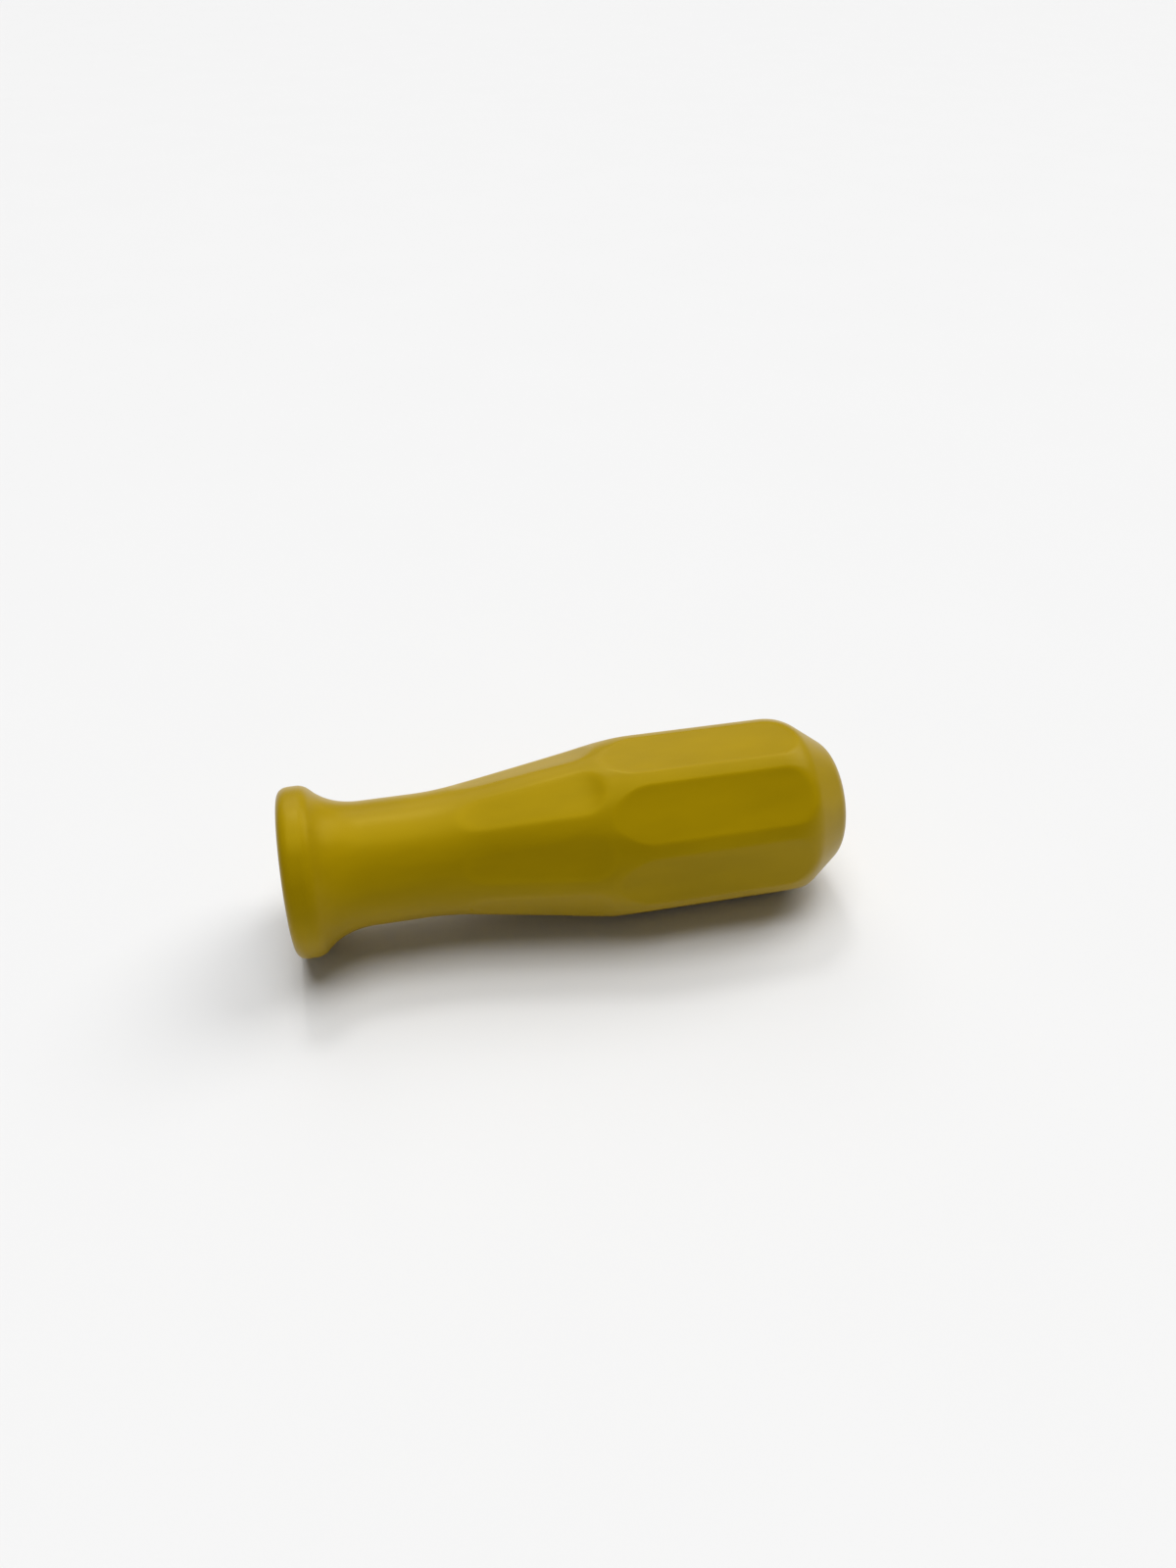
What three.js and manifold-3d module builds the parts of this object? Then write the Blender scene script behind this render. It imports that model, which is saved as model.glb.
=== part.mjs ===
// File handle: a moulded grip with a finger flange, a steel tang insert and a thrust washer.
// Millimetres, +Z up. The handle lies along X, flange towards -X, on the lowest flat of its grip.
// The origin is under the middle of its length, on the surface that it lies on.
import * as THREE from "three";
import { mergeVertices } from "three/addons/utils/BufferGeometryUtils.js";
import Module from "manifold-3d";

const wasm = await Module();
wasm.setup();

// Driving dimensions. Stations are distances along the handle from the flange's face.
const LENGTH = 110;
const FLANGE_RADIUS = 16.5;
const FLANGE_EDGE_RADIUS = 2.4;
const FLANGE_BACK = { station: 5, blend: 1 };
const FILLET_STATION = 9.35;
const NECK = { start: 15.3, end: 29.6, blend: 4.75, radius: 12.1 };
const CONE_HOLLOW = 0.08;
const GRIP_RADIUS = 18.3;
const GRIP_START = 66.9;
const RIDGE_BLEND = 2;
const CHAMFER_START = 99.6;
const CHAMFER_BLEND = 3.2;
const CHAMFER_END = { station: 107.4, radius: 12.5 };
const NOSE = { reach: 2.5, fullness: 7.65 };

const SIDES = 8;
const GRIP_FLAT_DISTANCE = 17.4;
const GRIP_FLAT_START = 58;
// The bottom of a flat on the cone, as stations and distances from the axis: run-in, flat, shoulder.
const TAPER_FLAT = [
  [31, 12.42],
  [37, 12.83],
  [57.9, 16.05],
  [65, 18.9],
];
const FLAT_CUTTER_WIDTH = 16;
const FLAT_CUTTER_TOP = 24;

const GAP = 0.3;
const WASHER = { outer: 12, inner: 5.9, thickness: 1.5, edge: 0.3 };
const INSERT = { lands: 4, landLength: 3.4, landRadius: 7.5, grooveLength: 2.2, grooveRadius: 6.6 };
const THREAD = { pitch: 2.5, mouthRadius: 4.4, backRadius: 3.9, toothHeight: 0.6 };
const FLUTE = { count: 4, radius: 1.2, centre: 4.4 };
const SOCKET = { mouthRadius: 4.9, endRadius: 4.3, end: 64, pointLength: 2.5 };

const BODY_SEGMENTS = 48;
const STEEL_SEGMENTS = 24;
const FLUTE_SEGMENTS = 12;
const CURVE_STEPS = 5;

const INSERT_START = WASHER.thickness + GAP;
const INSERT_LENGTH = INSERT.lands * INSERT.landLength + (INSERT.lands - 1) * INSERT.grooveLength;
const INSERT_END = INSERT_START + INSERT_LENGTH;

// The closed triangle mesh of a geometry, as a solid that can be cut.
function solid(geometry) {
  const bare = geometry.clone();
  bare.deleteAttribute("normal");
  bare.deleteAttribute("uv");
  const merged = mergeVertices(bare, 1e-4);
  return new wasm.Manifold(
    new wasm.Mesh({
      numProp: 3,
      vertProperties: new Float32Array(merged.attributes.position.array),
      triVerts: new Uint32Array(merged.index.array),
    }),
  );
}

// A solid turned back into a geometry.
function geometryOf(shape) {
  const mesh = shape.getMesh();
  const geometry = new THREE.BufferGeometry();
  geometry.setAttribute("position", new THREE.BufferAttribute(new Float32Array(mesh.vertProperties), 3));
  geometry.setIndex(new THREE.BufferAttribute(new Uint32Array(mesh.triVerts), 1));
  geometry.computeVertexNormals();
  return geometry;
}

// A profile of (radius, station) points turned about the handle's axis, which is X here.
function turned(points, segments) {
  return new THREE.LatheGeometry(points, segments).rotateZ(-Math.PI / 2);
}

// A prism with the outline of (station, radius) points, its middle at the given angle about the axis.
function radialPrism(outline, width, angle) {
  const shape = new THREE.Shape(outline.map(([station, radius]) => new THREE.Vector2(station, radius)));
  const prism = new THREE.ExtrudeGeometry(shape, { depth: width, bevelEnabled: false });
  return prism.translate(0, 0, -width / 2).rotateX(angle);
}

// The outer half of the body's profile, from the flange's face to the middle of the butt.
function outerProfile() {
  const path = new THREE.Path();
  const corner = FLANGE_EDGE_RADIUS;
  const back = FLANGE_BACK;
  const coneSlope = (GRIP_RADIUS - NECK.radius) / (GRIP_START - NECK.end);
  const coneRadius = (station) => GRIP_RADIUS - coneSlope * (GRIP_START - station);
  const coneStart = NECK.end + NECK.blend;
  const coneEnd = GRIP_START - RIDGE_BLEND;
  const coneMiddle = (coneStart + coneEnd) / 2;
  const chamferSlope = (GRIP_RADIUS - CHAMFER_END.radius) / (CHAMFER_END.station - CHAMFER_START);

  path.moveTo(0, FLANGE_RADIUS - corner);
  path.quadraticCurveTo(0, FLANGE_RADIUS, corner, FLANGE_RADIUS);
  path.lineTo(back.station - back.blend, FLANGE_RADIUS);
  path.quadraticCurveTo(back.station, FLANGE_RADIUS, back.station + back.blend, FLANGE_RADIUS - back.blend);
  path.quadraticCurveTo(FILLET_STATION, NECK.radius, NECK.start, NECK.radius);
  path.lineTo(NECK.end - NECK.blend, NECK.radius);
  path.quadraticCurveTo(NECK.end, NECK.radius, coneStart, coneRadius(coneStart));
  path.quadraticCurveTo(coneMiddle, coneRadius(coneMiddle) - 2 * CONE_HOLLOW, coneEnd, coneRadius(coneEnd));
  path.quadraticCurveTo(GRIP_START, GRIP_RADIUS, GRIP_START + RIDGE_BLEND, GRIP_RADIUS);
  path.lineTo(CHAMFER_START - CHAMFER_BLEND, GRIP_RADIUS);
  path.quadraticCurveTo(
    CHAMFER_START,
    GRIP_RADIUS,
    CHAMFER_START + CHAMFER_BLEND,
    GRIP_RADIUS - chamferSlope * CHAMFER_BLEND,
  );
  path.lineTo(CHAMFER_END.station, CHAMFER_END.radius);
  path.bezierCurveTo(
    CHAMFER_END.station + NOSE.reach,
    CHAMFER_END.radius - chamferSlope * NOSE.reach,
    LENGTH,
    NOSE.fullness,
    LENGTH,
    0,
  );
  return path.getPoints(CURVE_STEPS).map((p) => new THREE.Vector2(p.y, p.x));
}

// The lands and grooves of the insert's outside, moved outwards by a gap, from its front to its back.
function insertOutline(gap) {
  const points = [];
  for (let i = 0; i < INSERT.lands; i++) {
    const start = INSERT_START + i * (INSERT.landLength + INSERT.grooveLength);
    const end = start + INSERT.landLength;
    points.push(new THREE.Vector2(INSERT.landRadius + gap, i === 0 ? start : start - gap));
    points.push(new THREE.Vector2(INSERT.landRadius + gap, end + gap));
    if (i < INSERT.lands - 1) {
      points.push(new THREE.Vector2(INSERT.grooveRadius + gap, end + gap));
      points.push(new THREE.Vector2(INSERT.grooveRadius + gap, end + INSERT.grooveLength - gap));
    }
  }
  return points;
}

// The yellow moulding: a turned outside and socket, with eight flats on the grip and eight on the cone,
// each in line with an edge between two of the grip's.
function gripBody() {
  const socket = [
    new THREE.Vector2(0, SOCKET.end + SOCKET.pointLength),
    new THREE.Vector2(SOCKET.endRadius, SOCKET.end),
    new THREE.Vector2(SOCKET.mouthRadius, INSERT_END + GAP),
    ...insertOutline(GAP).reverse(),
    new THREE.Vector2(WASHER.outer + GAP, INSERT_START),
    new THREE.Vector2(WASHER.outer + GAP, 0),
  ];
  let body = solid(turned([...socket, ...outerProfile()], BODY_SEGMENTS));
  const gripFlat = [
    [GRIP_FLAT_START, GRIP_FLAT_DISTANCE],
    [LENGTH + 1, GRIP_FLAT_DISTANCE],
    [LENGTH + 1, FLAT_CUTTER_TOP],
    [GRIP_FLAT_START, FLAT_CUTTER_TOP],
  ];
  const taperFlat = [
    ...TAPER_FLAT,
    [TAPER_FLAT.at(-1)[0], FLAT_CUTTER_TOP],
    [TAPER_FLAT[0][0], FLAT_CUTTER_TOP],
  ];
  for (let i = 0; i < SIDES; i++) {
    const angle = (i * 2 * Math.PI) / SIDES;
    body = body.subtract(solid(radialPrism(gripFlat, FLAT_CUTTER_WIDTH, angle)));
    body = body.subtract(solid(radialPrism(taperFlat, FLAT_CUTTER_WIDTH, angle + Math.PI / SIDES)));
  }
  return geometryOf(body);
}

// The steel sleeve: grooves outside, ring teeth inside, and flutes along the bore that give the teeth
// their cutting edges.
function tangInsert() {
  const teeth = [];
  const toothCount = Math.floor(INSERT_LENGTH / THREAD.pitch);
  const pitch = INSERT_LENGTH / toothCount;
  for (let i = 0; i <= toothCount; i++) {
    const crest = THREE.MathUtils.lerp(THREAD.mouthRadius, THREAD.backRadius, i / toothCount);
    const root = INSERT_START + i * pitch;
    if (i > 0) teeth.push(new THREE.Vector2(crest, root - pitch / 2));
    teeth.push(new THREE.Vector2(crest + THREAD.toothHeight, root));
  }
  const outside = insertOutline(0);
  const profile = [...teeth.reverse(), ...outside, teeth[0]];
  let sleeve = solid(turned(profile, STEEL_SEGMENTS));
  for (let i = 0; i < FLUTE.count; i++) {
    const flute = new THREE.CylinderGeometry(FLUTE.radius, FLUTE.radius, INSERT_LENGTH + 2, FLUTE_SEGMENTS);
    flute.rotateZ(-Math.PI / 2);
    flute.translate((INSERT_START + INSERT_END) / 2, FLUTE.centre, 0);
    flute.rotateX(((i + 0.5) * 2 * Math.PI) / FLUTE.count);
    sleeve = sleeve.subtract(solid(flute));
  }
  return geometryOf(sleeve);
}

// The flat steel ring in the flange's face, with its outer front edge broken.
function thrustWasher() {
  const profile = [
    new THREE.Vector2(WASHER.inner, 0),
    new THREE.Vector2(WASHER.outer - WASHER.edge, 0),
    new THREE.Vector2(WASHER.outer, WASHER.edge),
    new THREE.Vector2(WASHER.outer, WASHER.thickness),
    new THREE.Vector2(WASHER.inner, WASHER.thickness),
    new THREE.Vector2(WASHER.inner, 0),
  ];
  return turned(profile, BODY_SEGMENTS);
}

const yellowPlastic = new THREE.MeshStandardMaterial({ color: 0xc79a06, roughness: 0.45, metalness: 0 });
const hardenedSteel = new THREE.MeshStandardMaterial({ color: 0x6b6d70, roughness: 0.4, metalness: 1 });
const platedSteel = new THREE.MeshStandardMaterial({ color: 0xb9bcc0, roughness: 0.3, metalness: 1 });

const handle = new THREE.Group();
handle.position.set(-LENGTH / 2, 0, GRIP_FLAT_DISTANCE);

function addPiece(name, geometry, material) {
  const mesh = new THREE.Mesh(geometry, material);
  mesh.name = name;
  handle.add(mesh);
}

addPiece("grip_body", gripBody(), yellowPlastic);
addPiece("tang_insert", tangInsert(), hardenedSteel);
addPiece("thrust_washer", thrustWasher(), platedSteel);

const part = new THREE.Group();
part.add(handle);

export default part;
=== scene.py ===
"""A moulded plastic file handle: faceted yellow grip, threaded steel tang sleeve and steel face washer."""

import math

import bpy
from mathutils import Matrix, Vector


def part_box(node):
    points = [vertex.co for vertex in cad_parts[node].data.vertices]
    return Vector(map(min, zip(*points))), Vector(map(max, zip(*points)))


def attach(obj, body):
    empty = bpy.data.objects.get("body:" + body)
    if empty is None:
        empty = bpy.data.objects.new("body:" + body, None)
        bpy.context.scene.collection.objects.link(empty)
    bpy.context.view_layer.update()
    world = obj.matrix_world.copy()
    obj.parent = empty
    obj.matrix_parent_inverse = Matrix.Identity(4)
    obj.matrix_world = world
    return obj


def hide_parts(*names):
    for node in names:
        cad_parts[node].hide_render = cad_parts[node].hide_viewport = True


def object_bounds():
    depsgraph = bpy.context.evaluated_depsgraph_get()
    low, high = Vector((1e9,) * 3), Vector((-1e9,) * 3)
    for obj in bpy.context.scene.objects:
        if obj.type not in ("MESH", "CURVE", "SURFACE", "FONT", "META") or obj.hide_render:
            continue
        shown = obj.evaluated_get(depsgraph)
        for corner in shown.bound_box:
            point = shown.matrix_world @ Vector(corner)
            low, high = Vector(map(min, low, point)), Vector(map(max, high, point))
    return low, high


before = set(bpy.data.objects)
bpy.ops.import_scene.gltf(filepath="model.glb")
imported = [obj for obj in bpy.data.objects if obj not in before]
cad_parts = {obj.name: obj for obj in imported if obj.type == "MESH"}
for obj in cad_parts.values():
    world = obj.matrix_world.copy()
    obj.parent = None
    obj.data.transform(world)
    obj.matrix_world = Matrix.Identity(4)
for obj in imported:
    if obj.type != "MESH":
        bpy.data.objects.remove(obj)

bl_info = {
    "name": "File handle",
    "version": (1, 0, 0),
    "blender": (4, 5, 0),
    "location": "3D View > Sidebar > File handle",
    "description": "Builds a moulded plastic file handle with its steel tang sleeve and washer",
    "category": "Add Mesh",
}

CAD_LOW, CAD_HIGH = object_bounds()
SLEEVE_LOW, SLEEVE_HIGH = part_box("tang_insert")
WASHER_LOW, WASHER_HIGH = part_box("thrust_washer")
MM = 0.001
START = CAD_LOW.x
LENGTH = CAD_HIGH.x - CAD_LOW.x
AXIS_HEIGHT = (CAD_LOW.z + CAD_HIGH.z) / 2
FLAT_DISTANCE = (CAD_HIGH.z - CAD_LOW.z) / 2
ROOT = "root"

# Details that no setting changes. Slopes and shares have no unit, and lengths are in millimetres.
GAP = 0.3
FACE_SPACING = 0.8

# The grip's outline: how far its corners' rounding reaches. The rim's goes on behind it and drops, and
# the chamfer's reaches these shares of its blend before and after the chamfer's start.
NECK_BLEND = 4.75
RIM_BLEND = 1.3
RIM_BACK = (1.0, 0.9)
CHAMFER_BEFORE, CHAMFER_AFTER = 1.3, 0.8

# The grip's flats: the ends of the cone's, the softer edges of the grip's at the butt, the share of a
# flat's half width that sinks, and how wide the band along its edges is that is rubbed smoother and
# painted lighter as a painted highlight.
RUN_OUT_SLOPE, RUN_OUT_BLEND = 0.35, 4.0
SHOULDER_SLOPE, SHOULDER_BLEND = 0.3, 4.0
BUTT_SOFTNESS = 0.7
BUTT_SOFT_FROM, BUTT_SOFT_TO = 96.0, 101.0
SINK_SHARE = 0.8
EDGE_WIDTH = 0.25

# The tang socket, as station and radius, and the steel pieces in it.
SOCKET_CORNERS = [(66.5, 0.0), (64.0, 4.3)]
SOCKET_MOUTH_RADIUS = 4.9
LANDS = 4
LAND_LENGTH, LAND_RADIUS = 3.4, 7.5
GROOVE_LENGTH, GROOVE_RADIUS = 2.2, 6.6
SLEEVE_FRONT_RADIUS, SLEEVE_BACK_RADIUS = 6.2, 5.7
SLEEVE_CORNER = 0.25
BORE_RADIUS, BORE_MOUTH_RADIUS, BORE_BACK_RADIUS = 3.8, 5.75, 5.4
BORE_MOUTH_DEPTH, BORE_BACK_DEPTH = 0.5, 0.3
WASHER_CORNER = 0.3


# --------------------------------------------------------------------------------------------------
# Node trees written as expressions
# --------------------------------------------------------------------------------------------------


class Value:
    """One output of a node. Arithmetic on it adds Math nodes to its tree."""

    def __init__(self, graph, socket):
        self.graph = graph
        self.socket = socket

    def math(self, operation, *others):
        return self.graph.math(operation, self, *others)

    def __add__(self, other):
        return self.graph.math("ADD", self, other)

    def __radd__(self, other):
        return self.graph.math("ADD", other, self)

    def __sub__(self, other):
        return self.graph.math("SUBTRACT", self, other)

    def __rsub__(self, other):
        return self.graph.math("SUBTRACT", other, self)

    def __mul__(self, other):
        return self.graph.math("MULTIPLY", self, other)

    def __rmul__(self, other):
        return self.graph.math("MULTIPLY", other, self)

    def __truediv__(self, other):
        return self.graph.math("DIVIDE", self, other)

    def __rtruediv__(self, other):
        return self.graph.math("DIVIDE", other, self)

    def __neg__(self):
        return self.graph.math("MULTIPLY", self, -1.0)


class Graph:
    """A shader or geometry node tree that nodes are added to by one method."""

    def __init__(self, tree):
        self.tree = tree
        self.column = 0

    def node(self, kind, settings=(), inputs=()):
        """Adds a node, sets its settings, then sets or links its sockets. Returns the node."""
        made = self.tree.nodes.new(kind)
        made.location = (self.column * 190, 0)
        self.column += 1
        for name, value in dict(settings).items():
            setattr(made, name, value)
        for key, value in dict(inputs).items():
            socket = made.inputs[key]
            if isinstance(value, Value):
                self.tree.links.new(value.socket, socket)
            else:
                socket.default_value = value
        return made

    def get(self, kind, settings=(), inputs=(), output=0):
        """Adds a node and returns one of its outputs as a Value."""
        return Value(self, self.node(kind, settings, inputs).outputs[output])

    def math(self, operation, *values):
        return self.get("ShaderNodeMath", {"operation": operation}, dict(enumerate(values)))

    def clamp(self, value):
        return self.get("ShaderNodeClamp", {}, {"Value": value})

    def ramp(self, value, low, high):
        """0 below low, 1 above high, and smooth between them. High may be the lower number."""
        settings = {"interpolation_type": "SMOOTHSTEP"}
        sockets = {"Value": value, "From Min": low, "From Max": high}
        return self.get("ShaderNodeMapRange", settings, sockets)


# --------------------------------------------------------------------------------------------------
# Outlines, in millimetres: station along the handle from the flange's face, and radius
# --------------------------------------------------------------------------------------------------


def curve(points, steps):
    """Points on the Bezier curve with these control points, without the first."""
    order = len(points) - 1
    made = []
    for step in range(1, steps + 1):
        t = step / steps
        shares = [math.comb(order, i) * t**i * (1 - t) ** (order - i) for i in range(order + 1)]
        made.append(tuple(sum(w * p[axis] for w, p in zip(shares, points)) for axis in range(2)))
    return made


def straight(start, end, spacing):
    """Points on the straight line from start to end, about this far apart, without the first."""
    steps = max(1, round(math.dist(start, end) / spacing))
    return [
        tuple(start[axis] + (end[axis] - start[axis]) * step / steps for axis in range(2))
        for step in range(1, steps + 1)
    ]


def rounded_corners(corners, radius, steps=3):
    """The corner points with each inner one cut back by radius and rounded."""
    made = [corners[0]]
    for before, corner, after in zip(corners, corners[1:], corners[2:]):
        into = min(radius, 0.45 * math.dist(before, corner), 0.45 * math.dist(corner, after))
        first = _towards(corner, before, into)
        last = _towards(corner, after, into)
        made.append(first)
        made += curve([first, corner, last], steps)
    made.append(corners[-1])
    return made


def _towards(start, end, distance):
    share = distance / math.dist(start, end)
    return tuple(start[axis] + (end[axis] - start[axis]) * share for axis in range(2))


# --------------------------------------------------------------------------------------------------
# Settings
# --------------------------------------------------------------------------------------------------


def length_setting(name, description, millimetres):
    return bpy.props.FloatProperty(
        name=name, description=description, default=millimetres * MM, unit="LENGTH", precision=5
    )


def colour_setting(name, description, colour):
    return bpy.props.FloatVectorProperty(
        name=name, description=description, default=colour, size=3, subtype="COLOR", min=0.0, max=1.0
    )


def angle_setting(name, description, degrees):
    return bpy.props.FloatProperty(
        name=name, description=description, default=math.radians(degrees), subtype="ANGLE"
    )


def count_setting(name, description, count, least):
    return bpy.props.IntProperty(name=name, description=description, default=count, min=least)


def number_setting(name, description, number, subtype="NONE"):
    return bpy.props.FloatProperty(
        name=name, description=description, default=number, min=0.0, subtype=subtype
    )


class FILEHANDLE_PG_grip(bpy.types.PropertyGroup):
    """Sizes of the moulded grip."""

    flange_radius: length_setting("Flange radius", "Radius of the finger flange's rim", 16.5)
    flange_width: length_setting("Flange width", "Width of the flange", 5.0)
    flange_edge: length_setting("Flange edge", "Rounding between the flange's face and rim", 2.4)
    fillet_station: length_setting("Fillet station", "Station of the corner behind the flange", 9.35)
    neck_start: length_setting("Neck start", "Station where the neck is first straight", 15.3)
    neck_radius: length_setting("Neck radius", "Radius of the neck behind the flange", 12.1)
    neck_end: length_setting("Neck end", "Station where the neck starts to widen", 29.6)
    cone_hollow: length_setting("Cone hollow", "How far the cone's side is hollowed", 0.08)
    ridge_station: length_setting("Ridge station", "Station where the cone meets the grip", 66.9)
    ridge_blend: length_setting("Ridge blend", "Length over which the ridge is rounded, to each side", 2.0)
    grip_radius: length_setting("Grip radius", "Radius of the round strips between the grip's flats", 18.3)
    chamfer_start: length_setting("Chamfer start", "Station where the butt's chamfer starts", 99.6)
    chamfer_blend: length_setting("Chamfer blend", "Length over which the chamfer's start is rounded", 3.5)
    nose_station: length_setting("Nose station", "Station where the chamfer turns into the nose", 107.4)
    nose_radius: length_setting("Nose radius", "Radius where the chamfer turns into the nose", 12.5)
    nose_reach: length_setting("Nose reach", "How far the nose goes on in the chamfer's direction", 2.5)
    nose_fullness: length_setting("Nose fullness", "How far out the nose's end stays blunt", 7.65)
    taper_start: length_setting("Taper flats start", "Station where the cone's flats start", 31.6)
    taper_end: length_setting("Taper flats end", "Station where the flats' shoulder starts", 58.3)
    taper_low: length_setting("Taper start height", "Flats' distance from the axis at their start", 12.15)
    taper_high: length_setting("Taper end height", "Flats' distance from the axis at their end", 16.11)
    edge_softness: length_setting("Edge softness", "Rounding of the grip's flats' edges", 0.18)
    taper_softness: length_setting("Taper softness", "Rounding of the cone's flats' edges", 0.45)
    sink_depth: length_setting("Sink depth", "How far the middle of a grip flat has sunk in cooling", 0.14)
    sides: count_setting("Sides", "Flats round the grip", 8, 3)
    around: count_setting("Steps around", "Faces round the grip", 360, 24)


class FILEHANDLE_PG_steel(bpy.types.PropertyGroup):
    """Sizes of the steel sleeve and washer."""

    thread_pitch: length_setting("Thread pitch", "Pitch of the thread that cuts into the tang", 2.5)
    thread_depth: length_setting("Thread depth", "Depth of that thread", 0.6)
    bore_mouth: length_setting("Bore at the mouth", "Radius of the thread's crest at the mouth", 4.4)
    bore_back: length_setting("Bore at the back", "Radius of the thread's crest at the back", 3.9)
    flute_radius: length_setting("Flute radius", "Radius of the flutes that cross the thread", 1.2)
    flute_centre: length_setting("Flute centre", "Distance of the flutes' centres from the axis", 4.4)
    flutes: count_setting("Flutes", "Flutes round the bore", 4, 1)
    washer_hole: length_setting("Washer hole", "Radius of the washer's hole", 5.9)
    around: count_setting("Steps around", "Faces round the sleeve and the washer", 192, 24)


class FILEHANDLE_PG_finish(bpy.types.PropertyGroup):
    """Colours of the handle and its stage."""

    plastic: colour_setting("Plastic", "Colour of the moulded grip", (0.36, 0.237, 0.0012))
    hardened: colour_setting("Hardened steel", "Colour of the tang sleeve", (0.09, 0.088, 0.086))
    plated: colour_setting("Plated steel", "Colour of the washer", (0.6, 0.6, 0.6))
    floor: colour_setting("Floor", "Colour of the floor", (0.8, 0.8, 0.8))
    roughness: number_setting("Plastic roughness", "Roughness of the moulded surface", 0.34, "FACTOR")


class FILEHANDLE_PG_stage(bpy.types.PropertyGroup):
    """The camera and the lights."""

    azimuth: angle_setting("Camera azimuth", "Turn of the camera round the handle", -12.42)
    elevation: angle_setting("Camera elevation", "Tilt of the camera above the floor", 36.97)
    distance: length_setting("Camera distance", "Distance from the camera to the point it looks at", 236.0)
    aim_x: length_setting("Aim along", "Point looked at, along the handle", 5.24)
    aim_y: length_setting("Aim across", "Point looked at, across the handle", 6.52)
    aim_z: length_setting("Aim height", "Point looked at, above the floor", 24.35)
    lens: number_setting("Lens", "Focal length in millimetres", 27.045)
    brightness: number_setting("Brightness", "Strength of all the softboxes together", 1.02)
    softness: number_setting("Softness", "Width of all the softboxes together", 1.0)
    fill: number_setting("Fill", "Brightness of the surroundings", 0.16)


# --------------------------------------------------------------------------------------------------
# Making pieces
# --------------------------------------------------------------------------------------------------


def outline_object(name, outline, marks=None):
    """A chain of points in the XZ plane, x the station and z the radius, in metres.

    Marks go in the attribute mark.
    """
    mesh = bpy.data.meshes.new(name)
    points = [(station * MM, 0.0, radius * MM) for station, radius in outline]
    mesh.from_pydata(points, [(i, i + 1) for i in range(len(points) - 1)], [])
    attribute = mesh.attributes.new("mark", "FLOAT", "POINT")
    attribute.data.foreach_set("value", marks or [0.0] * len(points))
    made = bpy.data.objects.new(name, mesh)
    bpy.context.scene.collection.objects.link(made)
    return made


def new_geometry_tree(name, sizes):
    """A geometry node tree with the outline's geometry, these named sizes and a material as inputs."""
    tree = bpy.data.node_groups.new(name, "GeometryNodeTree")
    tree.interface.new_socket(name="Geometry", in_out="INPUT", socket_type="NodeSocketGeometry")
    for label, kind in sizes:
        tree.interface.new_socket(name=label, in_out="INPUT", socket_type=kind)
    tree.interface.new_socket(name="Material", in_out="INPUT", socket_type="NodeSocketMaterial")
    tree.interface.new_socket(name="Geometry", in_out="OUTPUT", socket_type="NodeSocketGeometry")
    graph = Graph(tree)
    source = graph.node("NodeGroupInput")
    inputs = {socket.name: Value(graph, socket) for socket in source.outputs if socket.name}
    return graph, inputs


def turned_grid(graph, inputs):
    """A grid with a row for each outline point and a column for each step round the axis.

    Returns the grid and, for each of its points, the outline's station, radius and mark, and the
    angle round the axis.
    """
    outline = inputs["Geometry"]
    count = graph.get(
        "GeometryNodeAttributeDomainSize", {"component": "MESH"}, {"Geometry": outline}, "Point Count"
    )
    columns = inputs["Around"] + 1
    extent = {"Size X": 1.0, "Size Y": 1.0, "Vertices X": count, "Vertices Y": columns}
    grid = graph.get("GeometryNodeMeshGrid", {}, extent)
    index = graph.get("GeometryNodeInputIndex")
    row = ((index + 0.5) / columns).math("FLOOR")
    column = index - row * columns
    position = graph.get("GeometryNodeInputPosition")
    place = graph.get(
        "GeometryNodeSampleIndex",
        {"data_type": "FLOAT_VECTOR", "domain": "POINT"},
        {"Geometry": outline, "Value": position, "Index": row},
    )
    split = graph.node("ShaderNodeSeparateXYZ", {}, {"Vector": place})
    named = graph.get("GeometryNodeInputNamedAttribute", {"data_type": "FLOAT"}, {"Name": "mark"})
    mark = graph.get(
        "GeometryNodeSampleIndex",
        {"data_type": "FLOAT", "domain": "POINT"},
        {"Geometry": outline, "Value": named, "Index": row},
    )
    angle = column * math.tau / inputs["Around"]
    return grid, Value(graph, split.outputs["X"]), Value(graph, split.outputs["Z"]), mark, angle


def finish_turned(graph, inputs, grid, station, radius, angle, edge):
    """Wraps the grid round the handle's axis and closes its seam and poles.

    Stores how near an edge each point is.
    """
    place = graph.get(
        "ShaderNodeCombineXYZ",
        {},
        {
            "X": station + START,
            "Y": -(radius * angle.math("SINE")),
            "Z": radius * angle.math("COSINE") + AXIS_HEIGHT,
        },
    )
    stored = graph.get(
        "GeometryNodeStoreNamedAttribute",
        {"data_type": "FLOAT", "domain": "POINT"},
        {"Geometry": grid, "Name": "edge", "Value": edge},
    )
    wrapped = graph.get("GeometryNodeSetPosition", {}, {"Geometry": stored, "Position": place})
    welded = graph.get("GeometryNodeMergeByDistance", {}, {"Geometry": wrapped, "Distance": 1e-7})
    smooth = graph.get("GeometryNodeSetShadeSmooth", {}, {"Geometry": welded, "Shade Smooth": True})
    real = graph.get("GeometryNodeRealizeInstances", {}, {"Geometry": smooth})
    done = graph.get("GeometryNodeSetMaterial", {}, {"Geometry": real, "Material": inputs["Material"]})
    graph.node("NodeGroupOutput", {}, {"Geometry": done})


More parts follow.
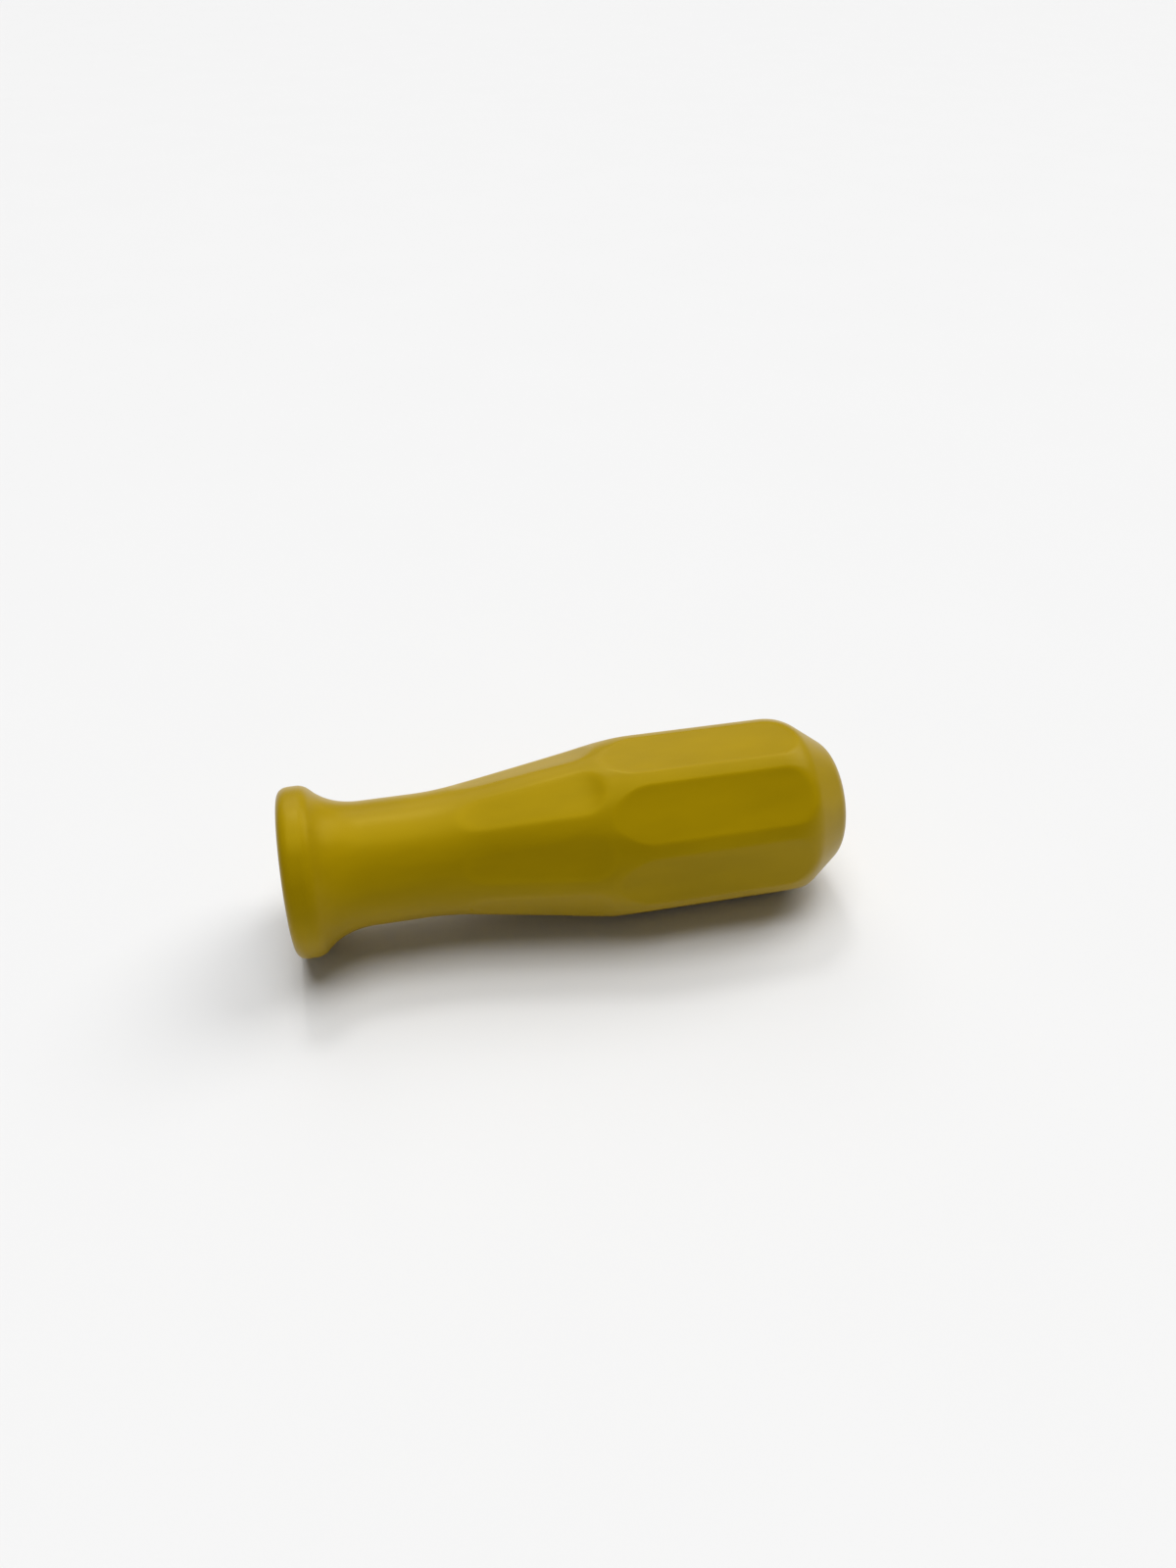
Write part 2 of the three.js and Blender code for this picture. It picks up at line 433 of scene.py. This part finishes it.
FLOAT = "NodeSocketFloat"
INTEGER = "NodeSocketInt"
GRIP_INPUTS = [
    ("Around", INTEGER),
    ("Sides", INTEGER),
    ("Flat distance", FLOAT),
    ("Taper start", FLOAT),
    ("Taper end", FLOAT),
    ("Taper start height", FLOAT),
    ("Taper end height", FLOAT),
    ("Neck radius", FLOAT),
    ("Edge softness", FLOAT),
    ("Taper softness", FLOAT),
    ("Sink depth", FLOAT),
]
SLEEVE_INPUTS = [
    ("Around", INTEGER),
    ("Flutes", INTEGER),
    ("Pitch", FLOAT),
    ("Depth", FLOAT),
    ("Mouth crest", FLOAT),
    ("Back crest", FLOAT),
    ("Start", FLOAT),
    ("End", FLOAT),
    ("Flute radius", FLOAT),
    ("Flute centre", FLOAT),
]
WASHER_INPUTS = [("Around", INTEGER)]


def grip_tree():
    """The turned grip, cut by flats along it and, half a side round, by flats that lean with the cone."""
    graph, inputs = new_geometry_tree("faceted_grip", GRIP_INPUTS)
    grid, station, turned, mark, angle = turned_grid(graph, inputs)
    half_side = math.pi / inputs["Sides"]
    from_grip_flat = angle.math("WRAP", half_side, -half_side)
    from_taper_flat = (angle + half_side).math("WRAP", half_side, -half_side)

    start, end = inputs["Taper start"], inputs["Taper end"]
    rise = (inputs["Taper end height"] - inputs["Taper start height"]) / (end - start)
    plane = inputs["Taper start height"] + (station - start) * rise
    run_out = inputs["Neck radius"] + (start - station) * RUN_OUT_SLOPE
    shoulder = (station - end).math("SMOOTH_MAX", 0.0, SHOULDER_BLEND * MM) * SHOULDER_SLOPE
    height = (plane + shoulder).math("SMOOTH_MAX", run_out, RUN_OUT_BLEND * MM)
    taper_flat = height / from_taper_flat.math("COSINE")

    across = from_grip_flat / (half_side * SINK_SHARE)
    sunk = inputs["Sink depth"] * graph.clamp(1 - across * across)
    grip_flat = (inputs["Flat distance"] - sunk) / from_grip_flat.math("COSINE")

    cone = turned.math("SMOOTH_MIN", taper_flat, inputs["Taper softness"])
    at_butt = graph.ramp(station, BUTT_SOFT_FROM * MM, BUTT_SOFT_TO * MM)
    soft = inputs["Edge softness"] + at_butt * BUTT_SOFTNESS * MM
    radius = cone.math("SMOOTH_MIN", grip_flat, soft)
    near_taper = graph.ramp((turned - taper_flat).math("ABSOLUTE"), EDGE_WIDTH * MM, 0.0)
    near_grip = graph.ramp((cone - grip_flat).math("ABSOLUTE"), EDGE_WIDTH * MM, 0.0)
    edge = near_taper.math("MAXIMUM", near_grip).math("MAXIMUM", mark)
    finish_turned(graph, inputs, grid, station, radius, angle, edge)
    return graph.tree


def sleeve_tree():
    """The turned sleeve with a tapered screw thread in its bore, crossed by flutes."""
    graph, inputs = new_geometry_tree("threaded_sleeve", SLEEVE_INPUTS)
    grid, station, turned, mark, angle = turned_grid(graph, inputs)
    share = (station - inputs["Start"]) / (inputs["End"] - inputs["Start"])
    crest = inputs["Mouth crest"] + (inputs["Back crest"] - inputs["Mouth crest"]) * share
    turns = station / inputs["Pitch"] - angle / math.tau
    tooth = (turns.math("FRACT") * 2 - 1).math("ABSOLUTE")
    thread = crest + inputs["Depth"] * graph.ramp(tooth, 0.12, 0.95)

    spacing = math.pi / inputs["Flutes"]
    from_flute = (angle + spacing).math("WRAP", spacing, -spacing)
    across = inputs["Flute centre"] * from_flute.math("SINE")
    reach = (inputs["Flute radius"] * inputs["Flute radius"] - across * across).math("MAXIMUM", 0.0)
    flute = inputs["Flute centre"] * from_flute.math("COSINE") + reach.math("SQRT")
    fluted = thread.math("MAXIMUM", flute * reach.math("GREATER_THAN", 0.0))
    bore = turned.math("MAXIMUM", fluted)
    radius = turned + (bore - turned) * mark
    edge = mark * graph.ramp(tooth, 0.25, 0.05)
    finish_turned(graph, inputs, grid, station, radius, angle, edge)
    return graph.tree


def washer_tree():
    """A plain turned ring."""
    graph, inputs = new_geometry_tree("turned_ring", WASHER_INPUTS)
    grid, station, turned, mark, angle = turned_grid(graph, inputs)
    finish_turned(graph, inputs, grid, station, turned, angle, mark)
    return graph.tree


def turned_piece(name, outline, marks, tree, sizes, material, replaced):
    """Runs the tree on the outline and keeps the result as a plain mesh that stands for a CAD node."""
    source = outline_object(name + "_outline", outline, marks)
    modifier = source.modifiers.new("turned", "NODES")
    modifier.node_group = tree
    for item in tree.interface.items_tree:
        if item.in_out == "INPUT" and item.name in sizes:
            modifier[item.identifier] = sizes[item.name]
        elif item.in_out == "INPUT" and item.name == "Material":
            modifier[item.identifier] = material
    graph = bpy.context.evaluated_depsgraph_get()
    mesh = bpy.data.meshes.new_from_object(source.evaluated_get(graph))
    source.modifiers.clear()
    bpy.data.objects.remove(source)
    if not mesh.polygons:
        raise RuntimeError(f"{name} came out empty")
    mesh.name = name
    made = bpy.data.objects.new(name, mesh)
    bpy.context.scene.collection.objects.link(made)
    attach(made, ROOT)
    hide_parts(replaced)
    return made


# --------------------------------------------------------------------------------------------------
# Outlines of the pieces
# --------------------------------------------------------------------------------------------------


def grip_outside(size):
    """The grip's outer outline, from the edge of the flange's face to the middle of the butt."""
    flange, width, edge = size.flange_radius / MM, size.flange_width / MM, size.flange_edge / MM
    neck, neck_start, neck_end = size.neck_radius / MM, size.neck_start / MM, size.neck_end / MM
    grip, ridge, blend = size.grip_radius / MM, size.ridge_station / MM, size.ridge_blend / MM
    chamfer, chamfer_blend = size.chamfer_start / MM, size.chamfer_blend / MM
    nose, nose_radius = size.nose_station / MM, size.nose_radius / MM
    length = LENGTH / MM
    cone_slope = (grip - neck) / (ridge - neck_end)
    chamfer_slope = (grip - nose_radius) / (nose - chamfer)

    def on_cone(station):
        return (station, grip - cone_slope * (ridge - station))

    def on_chamfer(station):
        return (station, grip - chamfer_slope * (station - chamfer))

    cone_start, cone_end = on_cone(neck_end + NECK_BLEND), on_cone(ridge - blend)
    middle_station, middle_radius = on_cone((cone_start[0] + cone_end[0]) / 2)
    cone_middle = (middle_station, middle_radius - 2 * size.cone_hollow / MM)
    rim_back = (width + RIM_BACK[0], flange - RIM_BACK[1])
    fillet = (size.fillet_station / MM, neck)
    chamfer_end = on_chamfer(chamfer + CHAMFER_AFTER * chamfer_blend)
    nose_start = on_chamfer(nose)
    nose_controls = [on_chamfer(nose + size.nose_reach / MM), (length, size.nose_fullness / MM)]

    points = [(0.0, flange - edge)]
    points += curve([points[-1], (0.0, flange), (edge, flange)], steps=10)
    points += straight(points[-1], (width - RIM_BLEND, flange), spacing=0.5)
    points += curve([points[-1], (width, flange), rim_back], steps=10)
    points += curve([points[-1], fillet, (neck_start, neck)], steps=22)
    points += straight(points[-1], (neck_end - NECK_BLEND, neck), spacing=1.0)
    points += curve([points[-1], (neck_end, neck), cone_start], steps=16)
    points += curve([points[-1], cone_middle, cone_end], steps=62)
    points += curve([points[-1], (ridge, grip), (ridge + blend, grip)], steps=16)
    points += straight(points[-1], (chamfer - CHAMFER_BEFORE * chamfer_blend, grip), spacing=0.9)
    points += curve([points[-1], (chamfer, grip), chamfer_end], steps=24)
    points += straight(points[-1], nose_start, spacing=0.45)
    points += curve([points[-1], *nose_controls, (length, 0.0)], steps=26)
    return points


def sleeve_ends():
    """The stations of the sleeve's front and back."""
    return (SLEEVE_LOW.x - START) / MM, (SLEEVE_HIGH.x - START) / MM


def sleeve_lands(gap):
    """The lands and grooves of the sleeve's outside, moved outwards by a gap, front to back."""
    front, _ = sleeve_ends()
    points = []
    for i in range(LANDS):
        start = front + i * (LAND_LENGTH + GROOVE_LENGTH)
        end = start + LAND_LENGTH
        points.append((start if i == 0 else start - gap, LAND_RADIUS + gap))
        points.append((end + gap, LAND_RADIUS + gap))
        if i < LANDS - 1:
            points.append((end + gap, GROOVE_RADIUS + gap))
            points.append((end + GROOVE_LENGTH - gap, GROOVE_RADIUS + gap))
    return points


def grip_socket():
    """The outline of the grip's inside, from the bottom of the tang socket to the flange's face."""
    front, back = sleeve_ends()
    recess = WASHER_HIGH.z / MM - AXIS_HEIGHT / MM + GAP
    corners = SOCKET_CORNERS + [(back + GAP, SOCKET_MOUTH_RADIUS)]
    corners += reversed(sleeve_lands(GAP))
    corners += [(front, recess), (0.0, recess)]
    return corners


def sleeve_outline():
    """The sleeve's outline, outside then bore, and marks that are 1 on the bore."""
    front, back = sleeve_ends()
    outside = [(front, SLEEVE_FRONT_RADIUS), *sleeve_lands(0.0), (back, SLEEVE_BACK_RADIUS)]
    outside = rounded_corners(outside, SLEEVE_CORNER)
    bore = [(back, BORE_BACK_RADIUS)]
    bore += straight(bore[-1], (back - BORE_BACK_DEPTH, BORE_RADIUS), spacing=0.2)
    bore += straight(bore[-1], (front + BORE_MOUTH_DEPTH, BORE_RADIUS), spacing=0.13)
    bore += straight(bore[-1], (front, BORE_MOUTH_RADIUS), spacing=0.2)
    marks = [0.0] * len(outside) + [1.0] * len(bore) + [0.0]
    return outside + bore + [outside[0]], marks


def washer_outline(hole):
    """The washer's outline, from the middle of its front face and round to it again."""
    outer = WASHER_HIGH.z / MM - AXIS_HEIGHT / MM
    thickness = (WASHER_HIGH.x - WASHER_LOW.x) / MM
    middle = (0.0, (hole + outer) / 2)
    corners = [middle, (0.0, outer), (thickness, outer), (thickness, hole), (0.0, hole), middle]
    return rounded_corners(corners, WASHER_CORNER, steps=5)


# --------------------------------------------------------------------------------------------------
# Materials
# --------------------------------------------------------------------------------------------------


PLASTIC_GLOSS = 0.22
PLASTIC_GLOSS_TINT = (1.0, 0.78, 0.05, 1.0)
TEMPER_BROWN = (0.115, 0.1, 0.085)
BARE_STEEL = (0.42, 0.41, 0.4)
ZINC_BLUE = (0.55, 0.56, 0.585)


def new_material(name):
    """A new material, its graph, and the part's own coordinates in millimetres."""
    material = bpy.data.materials.new(name)
    material.use_nodes = True
    material.node_tree.nodes.clear()
    graph = Graph(material.node_tree)
    coordinates = graph.get("ShaderNodeTexCoord", {}, {}, "Object")
    place = graph.get("ShaderNodeVectorMath", {"operation": "SCALE"}, {0: coordinates, "Scale": 1 / MM})
    return material, graph, place


def noise(graph, place, size, detail=2.0, stretch=(1, 1, 1)):
    """Soft noise whose features are about this many millimetres across."""
    scaled = graph.get("ShaderNodeVectorMath", {"operation": "MULTIPLY"}, {0: place, 1: stretch})
    return graph.get("ShaderNodeTexNoise", {}, {"Vector": scaled, "Scale": 1 / size, "Detail": detail})


def shade(graph, inputs):
    """Ends a material in a Principled shader with these inputs."""
    shader = graph.get("ShaderNodeBsdfPrincipled", {}, inputs)
    graph.node("ShaderNodeOutputMaterial", {}, {"Surface": shader})


def mixed(graph, share, first, second):
    """A colour from first to second."""
    settings = {"data_type": "RGBA", "blend_type": "MIX"}
    return graph.get("ShaderNodeMix", settings, {0: share, 6: first, 7: second}, 2)


def rgba(colour, brightness=1.0):
    return tuple(min(1.0, channel * brightness) for channel in colour) + (1.0,)


def yellow_plastic(finish):
    """Satin moulded plastic: soft flow, a fine grain, a slight orange peel, edges rubbed smoother and a
    painted highlight that lightens the flats' edges.
    """
    material, graph, place = new_material("yellow_plastic")
    edge = graph.get("ShaderNodeAttribute", {"attribute_name": "edge"}, {}, "Fac")
    flow = noise(graph, place, 9.0, 3.0, (0.35, 1, 1))
    peel = noise(graph, place, 1.6, 2.0)
    grain = noise(graph, place, 0.16, 2.0)
    scuff = graph.ramp(noise(graph, place, 0.5, 4.0, (0.12, 1, 1)), 0.64, 0.72)
    deep, pale = rgba(finish.plastic, 0.94), rgba(finish.plastic, 1.06)
    colour = mixed(graph, graph.ramp(flow, 0.3, 0.7), deep, pale)
    # Painted highlight: the colour is made lighter along the flats' edges.
    painted_edge_highlight = mixed(graph, edge * 0.18, colour, rgba(finish.plastic, 1.2))
    uneven = (grain - 0.5) * 0.12 + (flow - 0.5) * 0.08 + scuff * 0.05
    roughness = finish.roughness + uneven - edge * 0.06
    height = grain * 0.35 + peel
    bump = graph.get("ShaderNodeBump", {}, {"Strength": 0.25, "Distance": 0.02 * MM, "Height": height})
    shade(
        graph,
        {
            "Base Color": painted_edge_highlight,
            "Roughness": roughness,
            "Specular IOR Level": PLASTIC_GLOSS,
            "Specular Tint": PLASTIC_GLOSS_TINT,
            "Normal": bump,
        },
    )
    return material


def turning_marks(graph, place):
    """Fine rings round the handle's axis, as a lathe leaves them."""
    split = graph.node("ShaderNodeSeparateXYZ", {}, {"Vector": place})
    across = Value(graph, split.outputs["Y"])
    up = Value(graph, split.outputs["Z"]) - AXIS_HEIGHT / MM
    radius = (across * across + up * up).math("SQRT")
    rings = graph.get("ShaderNodeCombineXYZ", {}, {"X": radius, "Y": Value(graph, split.outputs["X"])})
    return graph.get("ShaderNodeTexNoise", {}, {"Vector": rings, "Scale": 9.0, "Detail": 3.0})


def hardened_steel(finish):
    """Dark heat-treated steel with lathe rings, blotches of temper colour and bright thread crests."""
    material, graph, place = new_material("hardened_steel")
    edge = graph.get("ShaderNodeAttribute", {"attribute_name": "edge"}, {}, "Fac")
    rings = turning_marks(graph, place)
    blotch = graph.ramp(noise(graph, place, 3.5, 4.0), 0.35, 0.7)
    dark = mixed(graph, blotch, rgba(finish.hardened, 0.8), rgba(TEMPER_BROWN))
    colour = mixed(graph, edge * 0.8, dark, rgba(BARE_STEEL))
    bump = graph.get("ShaderNodeBump", {}, {"Strength": 0.3, "Distance": 0.02 * MM, "Height": rings})
    roughness = 0.42 + (rings - 0.5) * 0.25 + blotch * 0.1 - edge * 0.12
    shade(graph, {"Base Color": colour, "Roughness": roughness, "Metallic": 1.0, "Normal": bump})
    return material


def plated_steel(finish):
    """Bright zinc plating over a stamped washer: faint rings, a cloudy sheen and fine scratches."""
    material, graph, place = new_material("plated_steel")
    rings = turning_marks(graph, place)
    cloud = graph.ramp(noise(graph, place, 4.0, 5.0), 0.3, 0.75)
    scratch = graph.ramp(noise(graph, place, 0.35, 2.0, (1, 1, 0.06)), 0.66, 0.72)
    colour = mixed(graph, cloud, rgba(finish.plated), rgba(ZINC_BLUE))
    height = rings * 0.8 - scratch
    bump = graph.get("ShaderNodeBump", {}, {"Strength": 0.25, "Distance": 0.015 * MM, "Height": height})
    roughness = 0.28 + (rings - 0.5) * 0.15 + cloud * 0.12 + scratch * 0.15
    shade(graph, {"Base Color": colour, "Roughness": roughness, "Metallic": 1.0, "Normal": bump})
    return material


def plain_floor(finish):
    """Matt pale board."""
    material, graph, place = new_material("pale_floor")
    tone = noise(graph, place, 60.0, 2.0)
    colour = mixed(graph, tone, rgba(finish.floor, 0.985), rgba(finish.floor))
    shade(graph, {"Base Color": colour, "Roughness": 0.8, "Specular IOR Level": 0.1})
    return material


# --------------------------------------------------------------------------------------------------
# Operators
# --------------------------------------------------------------------------------------------------


class FILEHANDLE_OT_grip(bpy.types.Operator):
    """Make the moulded grip: flange, neck, faceted cone, faceted grip and butt"""

    bl_idname = "filehandle.grip"
    bl_label = "Moulded grip"

    def execute(self, context):
        size, finish = context.scene.filehandle_grip, context.scene.filehandle_finish
        inside = grip_socket()
        outside = grip_outside(size)
        face = straight(inside[-1], outside[0], FACE_SPACING)[:-1]
        outline = inside + face + outside
        sizes = {
            "Around": size.around,
            "Sides": size.sides,
            "Flat distance": FLAT_DISTANCE,
            "Taper start": size.taper_start,
            "Taper end": size.taper_end,
            "Taper start height": size.taper_low,
            "Taper end height": size.taper_high,
            "Neck radius": size.neck_radius,
            "Edge softness": size.edge_softness,
            "Taper softness": size.taper_softness,
            "Sink depth": size.sink_depth,
        }
        material = yellow_plastic(finish)
        turned_piece(
            "grip_moulding", outline, None, grip_tree(), sizes, material, "grip_body"
        )
        return {"FINISHED"}


class FILEHANDLE_OT_sleeve(bpy.types.Operator):
    """Make the hardened steel sleeve with its screw thread and flutes"""

    bl_idname = "filehandle.sleeve"
    bl_label = "Tang sleeve"

    def execute(self, context):
        size, finish = context.scene.filehandle_steel, context.scene.filehandle_finish
        front, back = sleeve_ends()
        outline, marks = sleeve_outline()
        sizes = {
            "Around": size.around,
            "Flutes": size.flutes,
            "Pitch": size.thread_pitch,
            "Depth": size.thread_depth,
            "Mouth crest": size.bore_mouth,
            "Back crest": size.bore_back,
            "Start": front * MM,
            "End": back * MM,
            "Flute radius": size.flute_radius,
            "Flute centre": size.flute_centre,
        }
        material = hardened_steel(finish)
        turned_piece(
            "tang_sleeve", outline, marks, sleeve_tree(), sizes, material, "tang_insert"
        )
        return {"FINISHED"}


class FILEHANDLE_OT_washer(bpy.types.Operator):
    """Make the steel washer in the flange's face"""

    bl_idname = "filehandle.washer"
    bl_label = "Face washer"

    def execute(self, context):
        size, finish = context.scene.filehandle_steel, context.scene.filehandle_finish
        outline = washer_outline(size.washer_hole / MM)
        sizes = {"Around": size.around}
        material = plated_steel(finish)
        turned_piece(
            "face_washer", outline, None, washer_tree(), sizes, material, "thrust_washer"
        )
        return {"FINISHED"}


FLOOR_REACH = 3.0
# Name, azimuth, elevation, strength and width of each softbox; angles in degrees.
SOFTBOXES = [
    ("softbox_top", 0, 90, 1.46, 40),
    ("softbox_right", 120, 48, 1.24, 40),
    ("softbox_back", 180, 45, 0.5, 40),
    ("softbox_strip", 180, 60, 0.42, 10),
]


def direction(azimuth, elevation):
    """The direction from the handle to a lamp or the camera. Azimuth 0 is straight in front of it."""
    level = math.cos(elevation)
    return Vector((math.sin(azimuth) * level, -math.cos(azimuth) * level, math.sin(elevation)))


class FILEHANDLE_OT_stage(bpy.types.Operator):
    """Make the floor, the soft lights and the camera"""

    bl_idname = "filehandle.stage"
    bl_label = "Stage"

    def execute(self, context):
        stage, finish = context.scene.filehandle_stage, context.scene.filehandle_finish
        self.floor(finish)
        self.lights(stage)
        self.camera(stage)
        context.scene.view_settings.view_transform = "Standard"
        return {"FINISHED"}

    def floor(self, finish):
        mesh = bpy.data.meshes.new("floor")
        signs = [(-1, -1), (1, -1), (1, 1), (-1, 1)]
        corners = [(FLOOR_REACH * x, FLOOR_REACH * y, 0) for x, y in signs]
        mesh.from_pydata(corners, [], [(0, 1, 2, 3)])
        mesh.materials.append(plain_floor(finish))
        made = bpy.data.objects.new("floor", mesh)
        bpy.context.scene.collection.objects.link(made)

    def lights(self, stage):
        for name, azimuth, elevation, strength, width in SOFTBOXES:
            data = bpy.data.lights.new(name, "SUN")
            data.angle = math.radians(width) * stage.softness
            data.energy = strength * stage.brightness
            lamp = bpy.data.objects.new(name, data)
            towards = direction(math.radians(azimuth), math.radians(elevation))
            lamp.rotation_euler = towards.to_track_quat("Z", "Y").to_euler()
            bpy.context.scene.collection.objects.link(lamp)
        world = bpy.data.worlds.new("studio")
        world.use_nodes = True
        background = world.node_tree.nodes["Background"]
        background.inputs["Color"].default_value = (1, 1, 1, 1)
        background.inputs["Strength"].default_value = stage.fill
        bpy.context.scene.world = world

    def camera(self, stage):
        back = direction(stage.azimuth, stage.elevation)
        data = bpy.data.cameras.new("camera")
        data.sensor_width = 36.0
        data.lens = stage.lens
        data.clip_start, data.clip_end = 0.005, 20.0
        made = bpy.data.objects.new("camera", data)
        made.location = Vector((stage.aim_x, stage.aim_y, stage.aim_z)) + back * stage.distance
        made.rotation_euler = back.to_track_quat("Z", "Y").to_euler()
        bpy.context.scene.collection.objects.link(made)
        bpy.context.scene.camera = made


class FILEHANDLE_PT_panel(bpy.types.Panel):
    """Lists the handle's pieces and their settings"""

    bl_idname = "FILEHANDLE_PT_panel"
    bl_label = "File handle"
    bl_space_type = "VIEW_3D"
    bl_region_type = "UI"
    bl_category = "File handle"

    def draw(self, context):
        for operator in OPERATORS:
            self.layout.operator(operator.bl_idname)
        for name in SETTINGS:
            box = self.layout.box()
            group = getattr(context.scene, name)
            for field in group.__annotations__:
                box.prop(group, field)


SETTINGS = {
    "filehandle_grip": FILEHANDLE_PG_grip,
    "filehandle_steel": FILEHANDLE_PG_steel,
    "filehandle_finish": FILEHANDLE_PG_finish,
    "filehandle_stage": FILEHANDLE_PG_stage,
}
OPERATORS = [FILEHANDLE_OT_stage, FILEHANDLE_OT_grip, FILEHANDLE_OT_sleeve, FILEHANDLE_OT_washer]


def register():
    for made in [*SETTINGS.values(), *OPERATORS, FILEHANDLE_PT_panel]:
        bpy.utils.register_class(made)
    for name, group in SETTINGS.items():
        setattr(bpy.types.Scene, name, bpy.props.PointerProperty(type=group))


def unregister():
    for name in SETTINGS:
        delattr(bpy.types.Scene, name)
    for made in reversed([*SETTINGS.values(), *OPERATORS, FILEHANDLE_PT_panel]):
        bpy.utils.unregister_class(made)


def main():
    register()
    bpy.ops.filehandle.stage()
    bpy.ops.filehandle.grip()
    bpy.ops.filehandle.sleeve()
    bpy.ops.filehandle.washer()


if __name__ == "__main__":
    main()
